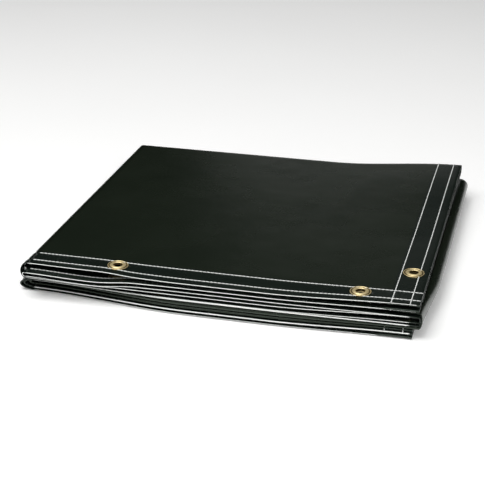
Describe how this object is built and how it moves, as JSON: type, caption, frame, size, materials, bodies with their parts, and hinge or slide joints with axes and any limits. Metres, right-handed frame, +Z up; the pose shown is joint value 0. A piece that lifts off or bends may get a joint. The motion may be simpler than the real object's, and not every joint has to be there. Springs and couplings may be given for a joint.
{
  "type": "folded welding curtain",
  "caption": "Flame-retardant vinyl welding curtain, hemmed all round with brass grommets, folded flat into a rectangular stack that opens leaf by leaf.",
  "frame": {"origin": "on the ground under the middle of the folded stack", "axes": "+X to the right along the front hems, +Y from the front hems to the back folds, +Z up through the stack"},
  "size_m": [0.468, 0.425, 0.043],
  "materials": {
    "vinyl": "satin, very dark green flame-retardant PVC sheet",
    "hem": "satin, the same sheet doubled and sewn",
    "brass": "bright stamped brass"
  },
  "bodies": {
    "leaf_d": {"panel_d": "vinyl", "first_hem_d": "hem", "second_hem_d": "hem", "side_hem_d": "hem", "side_grommet_d_1": "brass", "side_grommet_d_2": "brass", "side_grommet_d_3": "brass", "side_grommet_d_4": "brass", "eyelet_first_6": "brass", "washer_first_6": "brass", "eyelet_second_6": "brass", "washer_second_6": "brass", "eyelet_first_7": "brass", "washer_first_7": "brass", "eyelet_second_7": "brass", "washer_second_7": "brass", "fold_c_d": "vinyl"},
    "leaf_c": {"panel_c": "vinyl", "first_hem_c": "hem", "second_hem_c": "hem", "eyelet_first_5": "brass", "washer_first_5": "brass", "eyelet_second_5": "brass", "washer_second_5": "brass", "fold_b_c": "vinyl"},
    "leaf_b": {"panel_b": "vinyl", "first_hem_b": "hem", "second_hem_b": "hem", "eyelet_first_3": "brass", "washer_first_3": "brass", "eyelet_second_3": "brass", "washer_second_3": "brass", "eyelet_first_4": "brass", "washer_first_4": "brass", "eyelet_second_4": "brass", "washer_second_4": "brass", "fold_a_b": "vinyl"},
    "leaf_a": {"panel_a": "vinyl", "first_hem_a": "hem", "second_hem_a": "hem", "side_hem_a": "hem", "side_grommet_a_1": "brass", "side_grommet_a_2": "brass", "side_grommet_a_3": "brass", "side_grommet_a_4": "brass", "eyelet_first_1": "brass", "washer_first_1": "brass", "eyelet_second_1": "brass", "washer_second_1": "brass", "eyelet_first_2": "brass", "washer_first_2": "brass", "eyelet_second_2": "brass", "washer_second_2": "brass"}
  },
  "joints": [
    {"name": "lower_left_fold", "type": "hinge", "parent": "leaf_d", "child": "leaf_c", "pos_m": [-0.228, 0, 0.0108], "axis": [0, -1, 0], "range_deg": [0, 180], "deforming": ["fold_c_d"]},
    {"name": "right_fold", "type": "hinge", "parent": "leaf_c", "child": "leaf_b", "pos_m": [0.222, 0, 0.0216], "axis": [0, 1, 0], "range_deg": [0, 180], "deforming": ["fold_b_c"]},
    {"name": "upper_left_fold", "type": "hinge", "parent": "leaf_b", "child": "leaf_a", "pos_m": [-0.228, 0, 0.0324], "axis": [0, -1, 0], "range_deg": [0, 180], "deforming": ["fold_a_b"]}
  ]
}
